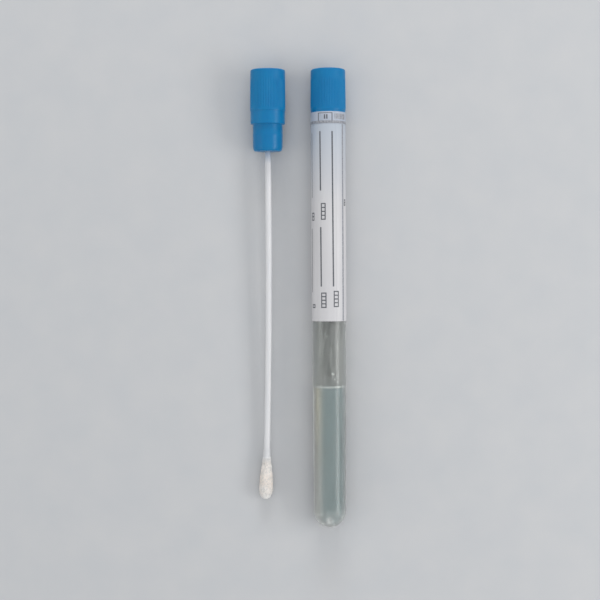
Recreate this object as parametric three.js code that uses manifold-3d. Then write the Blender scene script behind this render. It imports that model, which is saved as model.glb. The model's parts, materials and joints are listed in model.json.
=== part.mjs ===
// Specimen swab and transport tube, lying side by side on the floor.
//
// The tube is a translucent round-ended moulding, a third full of gel, with a film label wrapped round it and
// a push-in cap. A short band of the same film seals the cap's collar. Beside it lies the swab, whose shaft
// is fixed in a second moulding of the same cap.
//
// Millimetres, +Z up. Each half is turned about its own Y axis: y = 0 is the plane where the cap's shoulder
// meets the tube's rim, the cap stands on the +Y side and the tube or shaft runs towards -Y.

import * as THREE from "three";
import { mergeVertices } from "three/addons/utils/BufferGeometryUtils.js";
import Module from "manifold-3d";

// ---- Tube ----
const tubeLength = 150; // rim to the end of the round bottom
const mouthRadius = 6.31; // outside, at the rim
const upperDraft = 0.0013; // loss of outside radius for each millimetre down from the rim
const lowerDraft = 0.0042; // the same below the waist, where the wall narrows faster
const waistDepth = 85; // rim to the waist
const tubeWall = 0.71;
const rimBreak = 0.12; // small chamfer on both edges of the rim
const seatMargin = 1; // length of the parallel seat past the plug's end

// ---- Cap moulding, used on both halves ----
const plugLength = 10;
const plugClearance = 0.03; // between the plug's sealing ring and the bore
const ringHeight = 0.06; // sealing ring, proud of the plug
const ringPlace = 4.1; // shoulder to the ring's middle
const ringWidth = 1.6;
const leadLength = 1.9; // tapered nose of the plug
const leadTaper = 0.5;
const collarOverhang = 0.11; // collar's radius past the rim's
const collarHeight = 5;
const collarRound = 0.4; // rounded lower edge of the collar
const gripHeight = 15.3;
const gripSwell = 0.14; // fluted grip, proud of the collar at its lower end
const gripTaper = 0.11; // loss of radius from the grip's lower end to its top
const flutes = 66;
const fluteDepth = 0.12;
const fluteRunOut = 2.6; // smooth band left above the flutes
const crownRound = 0.7; // rounded edge of the flat top
const socketLead = 0.35; // flare at the mouth of the shaft's socket
const seatGap = 0.1; // between the shoulder and the rim

// ---- Film label and seal band ----
const filmThickness = 0.15;
const filmGap = 0.03; // between the film and the wall it is stuck to
const labelLength = 73;
const labelSlack = 0.1; // extra gap at the lower edge, where the tube tapers away
const lapStartDeg = 27; // the film starts under its own lap
const lapEndDeg = 52; // free edge on top of the lap
const collarShown = 0.9; // collar left bare between the band and the grip
const tearGap = 0.25; // perforation between the band and the label
const bandFilm = 0.08; // the band is stretched thinner over the collar

// ---- Gel ----
const gelLevel = 52.3; // tube's round end to the middle of the gel's top
const meniscusRise = 0.8;
const meniscusPower = 6; // of the curve in which the gel climbs the wall
const gelGap = 0.02;

// ---- Swab ----
const shaftRadius = 1.15;
const neckRadius = 1.02; // thinner where the shaft leaves the cap
const neckLength = 6; // length over which it widens
const socketDepth = 8; // of the shaft above the cap's shoulder
const fixGap = 0.03; // round the shaft in the cap and in the bud
const endGap = 0.3; // past each end of the shaft
const tipStandOff = 9.3; // bud to the tube's inside bottom, when the swab is in the tube
const tipLength = 18.6;
const tipRadius = 2.55;
const tipNose = 3.9; // length of the rounded nose, past the widest place
const tipCollar = 0.11; // thickness of the first turns of fibre, on the shaft
const collarFlare = 0.5; // how far those turns have widened where the bud's curve takes over
const collarEase = 6; // length over which they keep near the shaft
const swellEase = 3.5; // length over which the bud keeps near its full width
const noseEase = 0.6; // share of the nose over which it keeps near its full width
const tipSolid = 3.1; // fibre past the shaft's end
const shaftBow = 0.27; // sideways bow, half way down the shaft
const tipDrift = -0.8; // sideways place of the bud's end

// ---- How the two halves lie ----
const layPitch = 22.5; // between the two axes, at the shoulders
const tubeYawDeg = 0.28; // the tube lies not quite parallel to the swab

// ---- Fineness of the round surfaces ----
const sides = flutes; // the coaxial pieces share one number of sides, so their gaps stay even
const shaftSides = 24;
const arcSteps = 7;
const edgeSteps = 3; // round a small rounded edge
const bendSteps = 9; // down the bowed stretch of the shaft

// ---- Sizes that follow from the ones above ----
const boreRadius = mouthRadius - tubeWall;
const plugRadius = boreRadius - plugClearance - ringHeight;
const collarRadius = mouthRadius + collarOverhang;
const gripFootRadius = collarRadius + gripSwell;
const gripTopRadius = gripFootRadius - gripTaper;
const capHeight = collarHeight + gripHeight;
const swabReach = tubeLength - tubeWall - tipStandOff; // shoulder to the bud's end
const socketRadius = neckRadius + fixGap;
const tipBore = shaftRadius + fixGap;
const bandLength = collarHeight - collarShown - seatGap;

const wasm = await Module();
wasm.setup();

// Closed solid turned from (radius, height) pairs, listed up the outside and down the inside.
function turned(profile, count = sides) {
  const points = profile.map(([radius, height]) => new THREE.Vector2(radius, height));
  return new THREE.LatheGeometry(points, count);
}

// Points along an arc in the profile's plane, from one angle to another in degrees.
function arc(centreRadius, centreHeight, radius, fromDeg, toDeg, steps = arcSteps) {
  return Array.from({ length: steps + 1 }, (_, i) => {
    const angle = THREE.MathUtils.degToRad(fromDeg + ((toDeg - fromDeg) * i) / steps);
    return [centreRadius + radius * Math.cos(angle), centreHeight + radius * Math.sin(angle)];
  });
}

// Moves every vertex of a geometry by a rule that takes and changes its (x, y, z).
function reshape(geometry, rule) {
  const position = geometry.getAttribute("position");
  const point = new THREE.Vector3();
  for (let i = 0; i < position.count; i += 1) {
    point.fromBufferAttribute(position, i);
    rule(point);
    position.setXYZ(i, point.x, point.y, point.z);
  }
  return geometry;
}

// Changes a vertex's distance from the Y axis by a given amount.
function swell(point, amount) {
  const radius = Math.hypot(point.x, point.z);
  const scale = (radius + amount) / radius;
  point.x *= scale;
  point.z *= scale;
}

// Angle of a vertex round the Y axis, in degrees from 0 to 360, measured from straight up towards +X.
function turnOf(point) {
  return (THREE.MathUtils.radToDeg(Math.atan2(point.x, point.z)) + 360) % 360;
}

// A geometry as a manifold-3d solid, and back.
function solidOf(geometry) {
  const bare = new THREE.BufferGeometry();
  bare.setAttribute("position", geometry.getAttribute("position"));
  bare.setIndex(geometry.index);
  const merged = mergeVertices(bare);
  return new wasm.Manifold(
    new wasm.Mesh({
      numProp: 3,
      vertProperties: merged.getAttribute("position").array,
      triVerts: new Uint32Array(merged.index.array),
    }),
  );
}

function geometryOf(solid) {
  const mesh = solid.getMesh();
  const geometry = new THREE.BufferGeometry();
  geometry.setAttribute("position", new THREE.BufferAttribute(mesh.vertProperties, 3));
  geometry.setIndex(new THREE.BufferAttribute(mesh.triVerts, 1));
  geometry.computeVertexNormals();
  return geometry;
}

function piece(name, geometry, look) {
  const mesh = new THREE.Mesh(geometry, new THREE.MeshStandardMaterial(look));
  mesh.name = name;
  return mesh;
}

// ---- Tube and gel ----

// Outside radius of the tube at a height, down to where its round end starts.
function tubeOutside(height) {
  const belowWaist = Math.min(0, height + waistDepth);
  return mouthRadius + upperDraft * (height - belowWaist) + lowerDraft * belowWaist;
}

// Radius of the round end, which the tapered wall runs into.
const endRadius = tubeOutside(mouthRadius - tubeLength);
const endCentre = endRadius - tubeLength;

function tubeGeometry() {
  const seatEnd = -plugLength - seatMargin;
  return turned([
    ...arc(0, endCentre, endRadius, -90, 0),
    [tubeOutside(-waistDepth), -waistDepth],
    [mouthRadius, -rimBreak],
    [mouthRadius - rimBreak, 0],
    [boreRadius + rimBreak, 0],
    [boreRadius, -rimBreak],
    [boreRadius, seatEnd],
    [tubeOutside(seatEnd - seatMargin) - tubeWall, seatEnd - seatMargin],
    [tubeOutside(-waistDepth) - tubeWall, -waistDepth],
    ...arc(0, endCentre, endRadius - tubeWall, 0, -90),
  ]);
}

// The gel's top is flat in the middle and climbs the wall round its edge.
function gelGeometry() {
  const middle = gelLevel - tubeLength;
  const edge = tubeOutside(middle) - tubeWall - gelGap;
  const top = Array.from({ length: arcSteps }, (_, i) => {
    const radius = edge * Math.sqrt(1 - i / (arcSteps - 1));
    return [radius, middle + meniscusRise * (radius / edge) ** meniscusPower];
  });
  return turned([...arc(0, endCentre, endRadius - tubeWall - gelGap, -90, 0), ...top]);
}

// ---- Cap ----

// Grip, collar and crown, with upright flutes pressed into the grip.
function gripGeometry() {
  const fluteTop = capHeight - fluteRunOut;
  const gripAt = (height) => gripFootRadius - (gripTaper / gripHeight) * (height - collarHeight);
  const outside = turned(
    [
      [0, 0],
      ...arc(collarRadius - collarRound, collarRound, collarRound, -90, 0, edgeSteps),
      [collarRadius, collarHeight - gripSwell],
      [gripFootRadius, collarHeight],
      [gripAt(fluteTop), fluteTop],
      [gripAt(fluteTop + fluteDepth), fluteTop + fluteDepth],
      ...arc(gripTopRadius - crownRound, capHeight - crownRound, crownRound, 0, 90, edgeSteps),
      [0, capHeight],
    ],
    2 * flutes,
  );
  return reshape(outside, (point) => {
    const onFlutes = point.y > collarHeight - gripSwell / 2 && point.y < fluteTop + fluteDepth / 2;
    const inValley = Math.round(turnOf(point) / (180 / flutes)) % 2 === 1;
    if (onFlutes && inValley) swell(point, -fluteDepth);
  });
}

// Plug with a sealing ring and a tapered nose. Its root is sunk in the collar, so that the two join.
function plugGeometry() {
  const noseEnd = -plugLength;
  const root = collarHeight / 2;
  const ringTop = -ringPlace + ringWidth / 2;
  const ringFoot = -ringPlace - ringWidth / 2;
  return turned([
    [0, noseEnd],
    [plugRadius - leadTaper, noseEnd],
    [plugRadius, noseEnd + leadLength],
    [plugRadius, ringFoot],
    [plugRadius + ringHeight, ringFoot + ringWidth / 3],
    [plugRadius + ringHeight, ringTop - ringWidth / 3],
    [plugRadius, ringTop],
    [plugRadius, root],
    [0, root],
  ]);
}

// Blind socket for the shaft, flared at its mouth.
function socketGeometry() {
  const nose = -plugLength;
  return turned(
    [
      [0, nose - socketLead],
      [socketRadius + 2 * socketLead, nose - socketLead],
      [socketRadius, nose + socketLead],
      [socketRadius, socketDepth],
      [0, socketDepth],
    ],
    shaftSides,
  );
}

function capGeometry() {
  const body = solidOf(gripGeometry()).add(solidOf(plugGeometry()));
  return geometryOf(body.subtract(solidOf(socketGeometry())));
}

// ---- Film ----

// The film's outside is one thickness higher where its end laps over its start.
function labelGeometry() {
  const top = -tearGap;
  const foot = top - labelLength;
  const inTop = tubeOutside(top) + filmGap;
  const inFoot = tubeOutside(foot) + filmGap + labelSlack;
  const wrap = turned([
    [inFoot, foot],
    [inFoot + filmThickness, foot],
    [inTop + filmThickness, top],
    [inTop, top],
    [inFoot, foot],
  ]);
  return reshape(wrap, (point) => {
    const part = (point.y - foot) / (top - foot);
    const middle = THREE.MathUtils.lerp(inFoot, inTop, part) + filmThickness / 2;
    const isOutside = Math.hypot(point.x, point.z) > middle;
    const turn = turnOf(point);
    if (isOutside && turn > lapStartDeg && turn < lapEndDeg) swell(point, filmThickness);
  });
}

function bandGeometry() {
  const foot = seatGap;
  const inside = collarRadius + filmGap;
  return turned([
    [inside, foot],
    [inside + bandFilm, foot],
    [inside + bandFilm, foot + bandLength],
    [inside, foot + bandLength],
    [inside, foot],
  ]);
}

// ---- Swab ----

// Sideways place of the shaft's axis at a height: straight in the cap, then one gentle bow.
function bowAt(height) {
  const part = Math.max(0, -plugLength - height) / (swabReach - plugLength);
  return part * (4 * shaftBow - tipDrift) * (1 - part) + tipDrift * part * part;
}

function bowed(geometry) {
  return reshape(geometry, (point) => {
    point.x += bowAt(point.y);
  });
}

function shaftGeometry() {
  const top = socketDepth - endGap;
  const foot = -swabReach + tipSolid;
  const exit = -plugLength;
  const wide = exit - neckLength;
  const stretch = Array.from({ length: bendSteps + 1 }, (_, i) => [
    shaftRadius,
    THREE.MathUtils.lerp(foot, wide, i / bendSteps),
  ]);
  return bowed(turned([[0, foot], ...stretch, [neckRadius, exit], [neckRadius, top], [0, top]], shaftSides));
}

// Teardrop of wound fibre: a long swelling cone and a short round nose.
function tipGeometry() {
  const end = -swabReach;
  const widest = end + tipNose;
  const top = end + tipLength;
  const rim = tipBore + tipCollar;
  const outline = new THREE.Path();
  outline.moveTo(0, end);
  outline.bezierCurveTo(tipRadius / 2, end, tipRadius, widest - tipNose * noseEase, tipRadius, widest);
  outline.bezierCurveTo(tipRadius, widest + swellEase, rim + collarFlare, top - collarEase, rim, top);
  const outside = outline.getPoints(arcSteps).map((point) => [point.x, point.y]);
  const boreEnd = end + tipSolid - endGap;
  return bowed(turned([...outside, [tipBore, top], [tipBore, boreEnd], [0, boreEnd]], shaftSides));
}

// ---- Lying down ----

// Place along Y of the common centre of volume of some closed meshes.
function balancePoint(meshes) {
  let volume = 0;
  let moment = 0;
  for (const { geometry } of meshes) {
    const corners = geometry.toNonIndexed().getAttribute("position");
    for (let i = 0; i < corners.count; i += 3) {
      const [a, b, c] = [0, 1, 2].map((k) => new THREE.Vector3().fromBufferAttribute(corners, i + k));
      const wedge = a.dot(b.clone().cross(c)) / 6;
      volume += wedge;
      moment += (wedge * (a.y + b.y + c.y)) / 4;
    }
  }
  return moment / volume;
}

// Greatest depth below the axis at each height of some meshes.
function undersideOf(meshes) {
  const depthAt = new Map();
  for (const { geometry } of meshes) {
    const position = geometry.getAttribute("position");
    for (let i = 0; i < position.count; i += 1) {
      const height = Math.fround(position.getY(i));
      depthAt.set(height, Math.max(depthAt.get(height) ?? 0, -position.getZ(i)));
    }
  }
  return [...depthAt];
}

// A long piece rests on two points of its underside, one each side of its balance point: the two whose
// joining line passes lowest there. The group is tilted to that line and set down on it.
function laidDown(meshes, place, yawDeg) {
  const balance = balancePoint(meshes);
  const underside = undersideOf(meshes);
  let rest = { depth: 0, slope: 0 };
  for (const [footHeight, footDepth] of underside.filter(([height]) => height < balance)) {
    for (const [headHeight, headDepth] of underside.filter(([height]) => height > balance)) {
      const slope = (headDepth - footDepth) / (headHeight - footHeight);
      const depth = footDepth + slope * (balance - footHeight);
      if (depth > rest.depth) rest = { depth, slope };
    }
  }
  const tilt = Math.atan(rest.slope);
  const group = new THREE.Group();
  group.add(...meshes);
  group.position.set(place, 0, (rest.depth - rest.slope * balance) * Math.cos(tilt));
  group.rotateZ(THREE.MathUtils.degToRad(yawDeg));
  group.rotateX(tilt);
  return group;
}

// ---- The whole set ----

const blue = { color: 0x2377b4, roughness: 0.42, metalness: 0 };
const film = { color: 0xd2d3d8, roughness: 0.5, metalness: 0 };
const white = { color: 0xe2e2e4, roughness: 0.4, metalness: 0 };
const clear = { color: 0xdfe5e4, roughness: 0.15, metalness: 0, transparent: true, opacity: 0.35 };
const milky = { color: 0x9aa5a4, roughness: 0.3, metalness: 0, transparent: true, opacity: 0.8 };
const fibre = { color: 0xe8e4dc, roughness: 0.95, metalness: 0 };

const tubeHalf = [
  piece("tube", tubeGeometry(), clear),
  piece("gel_medium", gelGeometry(), milky),
  piece("name_label", labelGeometry(), film),
  piece("tube_cap", capGeometry().translate(0, seatGap, 0), blue),
  piece("seal_band", bandGeometry().translate(0, seatGap, 0), film),
];
const swabHalf = [
  piece("swab_cap", capGeometry(), blue),
  piece("swab_shaft", shaftGeometry(), white),
  piece("swab_tip", tipGeometry(), fibre),
];

const set = new THREE.Group();
set.add(laidDown(swabHalf, -layPitch / 2, 0));
set.add(laidDown(tubeHalf, layPitch / 2, tubeYawDeg));

// The origin is on the floor, under the middle of the set's bounding box.
set.updateMatrixWorld(true);
const box = new THREE.Box3().setFromObject(set, true);
const middle = box.getCenter(new THREE.Vector3());
set.position.set(-middle.x, -middle.y, -box.min.z);

export default set;
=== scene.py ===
# %% [markdown]
# # A specimen swab tube and its swab
#
# The set has two halves that lie side by side. One is a round-ended plastic tube, a third full of
# milky gel, with a film label wrapped round it, a push-in cap and a seal band over the cap's collar.
# The other is the swab: a white shaft fixed in a second cap of the same moulding, with a bud of wound
# fibre on its far end.
#
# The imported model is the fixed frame. It says where each piece is and how big it is, and nothing here
# moves it. Each of its eight pieces is replaced by a finer surface of the same size in the same place.

# %% Load the frame
import json
import math

import bpy
import numpy as np
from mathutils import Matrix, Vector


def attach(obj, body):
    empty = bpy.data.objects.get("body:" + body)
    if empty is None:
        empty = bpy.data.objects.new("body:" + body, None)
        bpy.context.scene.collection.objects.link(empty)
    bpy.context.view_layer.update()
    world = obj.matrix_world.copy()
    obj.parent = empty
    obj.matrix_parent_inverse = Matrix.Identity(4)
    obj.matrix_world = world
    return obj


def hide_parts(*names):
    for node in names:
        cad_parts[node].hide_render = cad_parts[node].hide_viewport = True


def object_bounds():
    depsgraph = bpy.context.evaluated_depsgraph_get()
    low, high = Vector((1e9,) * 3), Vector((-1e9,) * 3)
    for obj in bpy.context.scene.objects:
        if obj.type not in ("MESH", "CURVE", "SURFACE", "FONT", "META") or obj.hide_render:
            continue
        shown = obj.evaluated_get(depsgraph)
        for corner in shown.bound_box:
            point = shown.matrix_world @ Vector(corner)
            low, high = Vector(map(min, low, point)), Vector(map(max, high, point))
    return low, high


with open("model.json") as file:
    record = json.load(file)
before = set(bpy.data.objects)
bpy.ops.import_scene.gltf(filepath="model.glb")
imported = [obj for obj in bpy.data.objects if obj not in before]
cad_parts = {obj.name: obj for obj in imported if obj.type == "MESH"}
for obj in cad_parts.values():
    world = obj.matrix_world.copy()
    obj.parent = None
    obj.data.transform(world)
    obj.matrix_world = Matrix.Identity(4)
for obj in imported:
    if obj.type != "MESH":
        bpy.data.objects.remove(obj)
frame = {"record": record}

cad_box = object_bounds()
size_mm = [round((hi - lo) * 1000, 2) for lo, hi in zip(*cad_box)]
print("the set is", size_mm, "mm across, along and high")

# %% [markdown]
# ## Two lying halves
#
# Every round piece here is turned about its half's own axis, so each half gets its own directions:
# Y along the axis towards the cap, X level, and Z square to both. The record has a mount on the flat
# top of each cap, which gives a point of the axis and its direction. That is all that is needed to
# carry a shape worked out about a straight axis, in millimetres, to its place in the scene, in metres.

# %% Carry a shape from its own axis to its place
MM = 0.001
LEVEL, ALONG = 0, 1  # the first two of a half's own directions
CAP_HEIGHT = 20.3  # shoulder to the flat top
SEAT_GAP = 0.1  # between the cap's shoulder and the tube's rim


def lying_half(mount_name, mount_height):
    """Returns a function that carries points of one half, in its own millimetres, into the scene.

    The origin is the mount's point, moved back down the axis by the mount's height. A point is then
    the origin plus x of the level direction, y of the axis and z of the third direction.
    """
    mount = next(m for m in frame["record"]["mounts"] if m["name"] == mount_name)
    along = np.array(mount["axis"]) / np.linalg.norm(mount["axis"])
    level = np.cross(along, (0, 0, 1))
    level /= np.linalg.norm(level)
    axes = np.stack([level, along, np.cross(level, along)])
    origin = np.array(mount["pos_m"]) - along * mount_height * MM
    return lambda points: origin + (np.asarray(points) * MM) @ axes


in_tube_half = lying_half("tube_cap_top", CAP_HEIGHT + SEAT_GAP)
in_swab_half = lying_half("swab_cap_top", CAP_HEIGHT)

# %% [markdown]
# ## Camera
#
# Both halves are seen from straight above, as on a copy stand. A long lens a little over half a metre
# up keeps the round edges nearly straight, but not quite: the ends of the caps and of the label still
# bow gently.

# %% Set up the camera
CAMERA_HEIGHT = 0.5665
LENS, SENSOR = 90.2, 36  # so the view is 226 mm wide at the floor
camera_data = bpy.data.cameras.new("camera")
camera_data.lens = LENS
camera_data.sensor_width = SENSOR
camera_data.clip_start = 0.01
camera = bpy.data.objects.new("camera", camera_data)
camera.location = (0.62 * MM, -0.6 * MM, CAMERA_HEIGHT)
bpy.context.scene.collection.objects.link(camera)
bpy.context.scene.camera = camera
bpy.context.scene.view_settings.view_transform = "Standard"

# %% [markdown]
# ## Materials from a few noise fields
#
# Moulded plastic, film, gel and fibre differ in colour and gloss, but the small unevenness that makes
# each look real is of one kind: soft random fields of a certain size. So a finish is one material with
# its plain values on the shader's own sockets, and a field may be fed to its colour, its roughness or
# its relief. Fields read Object coordinates. Every finished object sits at the origin, so those are
# the scene's own metres, and a field can be given its grain in millimetres. A value that the nodes
# work out can be added to others and multiplied by them like a plain number.

# %% Colours and values


def paint(hex_colour):
    """A screen colour such as "d2d3d8" as linear values: below 4% divided by 12.92, else a power of 2.4."""
    screen = np.array([int(hex_colour[i : i + 2], 16) for i in (0, 2, 4)]) / 255
    linear = np.where(screen <= 0.04045, screen / 12.92, ((screen + 0.055) / 1.055) ** 2.4)
    return (*linear.tolist(), 1.0)


class Value:
    """A number or a colour that the nodes of a finish work out, so one of their output sockets."""

    def __init__(self, finish, socket):
        self.finish, self.socket = finish, socket

    def __rsub__(self, other):
        return self.finish.maths("SUBTRACT", other, self)

    def ramp(self, low, high, start=0.3, end=0.7):
        """A straight ramp: start becomes low, end becomes high, and nothing goes past them."""
        limits = {"Value": self, "From Min": start, "From Max": end, "To Min": low, "To Max": high}
        return Value(self.finish, self.finish.node("MapRange", limits).outputs[0])


# Each sign between two values stands for a Math node.
SIGNS = {
    "__add__": "ADD",
    "__sub__": "SUBTRACT",
    "__mul__": "MULTIPLY",
    "__pow__": "POWER",
    "__abs__": "ABSOLUTE",
    "greater": "MAXIMUM",  # the greater of the two
    "lesser": "MINIMUM",
}
for sign, how in SIGNS.items():
    setattr(Value, sign, lambda *values, how=how: values[0].finish.maths(how, *values))


# %% A finish


class Finish:
    """A Principled material, with values put on the sockets of those names ("Coat_Weight" and so on)."""

    def __init__(self, name, **values):
        self.material = bpy.data.materials.new(name)
        self.material.use_nodes = True
        self.shader = self.material.node_tree.nodes["Principled BSDF"]
        for socket, value in values.items():
            self.shader.inputs[socket.replace("_", " ")].default_value = value

    def put(self, target, source):
        """Puts a source on an input socket: a value is linked, a hex colour is painted."""
        if isinstance(source, Value):
            self.material.node_tree.links.new(source.socket, target)
        else:
            target.default_value = paint(source) if isinstance(source, str) else source

    def node(self, kind, inputs, **settings):
        """A node of that kind. inputs gives the sources of its sockets, and settings its properties."""
        node = self.material.node_tree.nodes.new("ShaderNode" + kind)
        for key, value in settings.items():
            setattr(node, key, value)
        for key, source in inputs.items():
            self.put(node.inputs[key], source)
        return node

    def maths(self, how, *numbers):
        """Numbers joined by a Math node."""
        return Value(self, self.node("Math", dict(enumerate(numbers)), operation=how).outputs[0])

    def spot(self):
        """Object coordinates."""
        return Value(self, self.node("TexCoord", {}).outputs["Object"])

    def field(self, grain_mm, stretch=1, detail=2.0, start=(0, 0, 0)):
        """A noise from about 0.25 to 0.75 whose lumps are grain_mm across, and stretched along Y."""
        pace = [1 / (grain_mm * MM * s) for s in (1, stretch, 1)]
        scaled = self.node("Mapping", {"Vector": self.spot(), "Scale": pace, "Location": start})
        place = Value(self, scaled.outputs[0])
        settings = {"Vector": place, "Scale": 1.0, "Detail": detail, "Roughness": 0.5}
        return Value(self, self.node("TexNoise", settings).outputs["Fac"])

    def distance(self, place, way):
        """How far a point is along one of a half's own directions, in that half's millimetres."""
        origin, tip = place(np.zeros(3)), place(np.eye(3)[way])
        direction = (tip - origin) / MM
        steps = {0: self.spot(), 1: direction.tolist()}
        dot = self.node("VectorMath", steps, operation="DOT_PRODUCT").outputs["Value"]
        return (Value(self, dot) - float(origin @ direction)) * (1 / MM)

    def blend(self, factor, first, second):
        """first where the factor is 0 and second where it is 1. Either may be a colour or a value."""
        mix = self.node("Mix", {}, data_type="RGBA")
        for name, source in (("Factor_Float", factor), ("A_Color", first), ("B_Color", second)):
            self.put(next(s for s in mix.inputs if s.identifier == name), source)
        return Value(self, next(s for s in mix.outputs if s.identifier == "Result_Color"))

    def feed(self, socket, source):
        """Links a value to one of the shader's own sockets."""
        self.put(self.shader.inputs[socket], source)

    def tones(self, factor, first, second):
        """Blends two colours into the base colour."""
        self.feed("Base Color", self.blend(factor, first, second))

    def relief(self, height, depth_mm):
        """Bump of that depth from a height that runs from 0 to 1."""
        bump = self.node("Bump", {"Height": height, "Distance": depth_mm * MM})
        self.feed("Normal", Value(self, bump.outputs[0]))


# %% [markdown]
# ## Floor and light
#
# The floor is a plain pale sheet, a tone darker than the white shaft, so that the shaft still stands
# out on it. The light is that of a small studio. Most of it comes from a soft dome, brightest a little
# to the right of overhead. A long panel stands to the right, low enough that each round piece shows one
# narrow highlight halfway between its ridge and its right edge. A wide, soft panel fills in the left,
# and two small ones past the ends pick out the tube's round end and the crowns of the caps. Together
# they light an upward face so that a colour comes out about as it is written.

# %% Make the floor
FLOOR_REACH = 4.0  # metres from the middle to each side
FLOOR_COLOUR = "bec0c3"
floor_finish = Finish("pale_floor", Roughness=0.7, Specular_IOR_Level=0.25)
floor_finish.tones(floor_finish.field(14, detail=4).ramp(0, 1), FLOOR_COLOUR, "c2c3c5")
floor_finish.relief(floor_finish.field(0.35, detail=3), 0.02)
corners = np.array([(-1, -1, 0), (1, -1, 0), (1, 1, 0), (-1, 1, 0)]) * FLOOR_REACH
floor_mesh = bpy.data.meshes.new("floor")
floor_mesh.from_pydata(corners.tolist(), [], [(0, 1, 2, 3)])
floor = bpy.data.objects.new("floor", floor_mesh)
floor.data.materials.append(floor_finish.material)
bpy.context.scene.collection.objects.link(floor)

# %% Set up the world
BRIGHTEST = (0.22, -0.2, 0.95)  # the dome of light is brightest this way
world = bpy.data.worlds.new("studio")
bpy.context.scene.world = world
world.use_nodes = True
nodes, links = world.node_tree.nodes, world.node_tree.links
ambient = nodes["Background"]
ambient.inputs["Color"].default_value = (0.97, 0.985, 1.0, 1.0)
way = nodes.new("ShaderNodeTexCoord")
towards = nodes.new("ShaderNodeVectorMath")
towards.operation = "DOT_PRODUCT"
towards.inputs[1].default_value = BRIGHTEST
glow = nodes.new("ShaderNodeMapRange")
glow.interpolation_type = "SMOOTHSTEP"
for key, value in (("From Min", -0.35), ("From Max", 1.0), ("To Min", 0.22), ("To Max", 0.85)):
    glow.inputs[key].default_value = value
links.new(way.outputs["Generated"], towards.inputs[0])
links.new(towards.outputs["Value"], glow.inputs["Value"])
links.new(glow.outputs[0], ambient.inputs["Strength"])
backdrop = nodes.new("ShaderNodeBackground")
backdrop.inputs["Color"].default_value = paint(FLOOR_COLOUR)
seen = nodes.new("ShaderNodeLightPath")
either = nodes.new("ShaderNodeMixShader")
links.new(seen.outputs["Is Camera Ray"], either.inputs[0])
links.new(ambient.outputs[0], either.inputs[1])
links.new(backdrop.outputs[0], either.inputs[2])
links.new(either.outputs[0], nodes["World Output"].inputs["Surface"])

# %% Set up the lamps


def panel(name, place, turn_deg, size, watts, colour=(1.0, 1.0, 1.0)):
    """A soft lamp that faces down, then turns by two angles, about X and about Y."""
    lamp = bpy.data.lights.new(name, "AREA")
    lamp.shape = "RECTANGLE"
    lamp.size, lamp.size_y = size
    lamp.energy = watts
    lamp.color = colour
    obj = bpy.data.objects.new(name, lamp)
    obj.location = place
    obj.rotation_euler = (*np.radians(turn_deg), 0)
    bpy.context.scene.collection.objects.link(obj)


panel("key_panel", (0.52579, -0.09, 0.32855), (0, 58), (0.2, 0.42), 1.28, (1.0, 0.99, 0.97))
panel("left_panel", (-0.782518, -0.2, 0.166329), (0, -78), (1.0, 0.9), 2.2, (1.0, 0.99, 0.95))
panel("end_panel", (0.011, -0.75, 0.22), (72, 0), (0.12, 0.12), 0.25)
panel("crown_panel", (0, 0.75, 0.3), (-68, 0), (0.4, 0.2), 2.4)

# %% [markdown]
# ## Surfaces worked out as whole arrays
#
# Nearly every piece is a turned shape, as most moulded and wound things are: an outline of radius and
# height carried round an axis. Films and printed marks are thin patches of the same rounds. So two
# builders are enough. One closes a grid of points round an axis and gathers each end on the axis into
# one pole. The other joins two like grids, an outer and an inner, into a closed film.

# %% Outlines


def arc(centre_radius, centre_height, radius, start_deg, end_deg, steps):
    """Points on a circle in the outline's plane: centre plus radius times (cosine, sine)."""
    turn = np.radians(np.linspace(start_deg, end_deg, steps + 1))
    return np.column_stack([centre_radius + radius * np.cos(turn), centre_height + radius * np.sin(turn)])


def line(start, end, steps=1):
    """Evenly spaced points from start to end."""
    return np.linspace(start, end, steps + 1)


def curve(points, steps):
    """A cubic Bezier curve: four points weighted by (1-t)^3, 3t(1-t)^2, 3t^2(1-t) and t^3."""
    t = np.linspace(0, 1, steps + 1)[:, None]
    weights = (1 - t) ** 3, 3 * t * (1 - t) ** 2, 3 * t**2 * (1 - t), t**3
    return sum(w * np.array(p, float) for w, p in zip(weights, points))


def outline(*parts):
    """Parts joined end to end, with repeated points dropped."""
    points = np.vstack(parts)
    moved = np.linalg.norm(np.diff(points, axis=0), axis=1) > 1e-6
    return points[np.concatenate([[True], moved])]


def ease(x, start, end):
    """0 up to start, 1 from end, and the smooth cubic 3t^2 - 2t^3 between them."""
    t = np.clip((np.asarray(x, float) - start) / (end - start), 0, 1)
    return t * t * (3 - 2 * t)


def rounded(height, foot, top, depth, reach):
    """How far a film's face draws in at its two edges: depth times e to the power -(way in)/reach."""
    return depth * (np.exp(-(height - foot) / reach) + np.exp(-(top - height) / reach))


def on_round(turn, height, radius):
    """Points at an angle from straight up towards +X: (r sin, height, r cos). All three broadcast."""
    turn, height, radius = np.broadcast_arrays(turn, height, radius)
    return np.stack([radius * np.sin(turn), height, radius * np.cos(turn)], axis=-1)


def round_angles(count):
    """Evenly spaced angles once round, from 0."""
    return np.arange(count) * 2 * np.pi / count


# %% Grids and their faces


def woven(index, wrap=False):
    """Quads between neighbours in a table of point numbers. With wrap the last column joins the first."""
    if wrap:
        index = np.column_stack([index, index[:, :1]])
    ring = index[:-1, :-1], index[:-1, 1:], index[1:, 1:], index[1:, :-1]
    return np.stack(ring, axis=-1).reshape(-1, 4)


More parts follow.
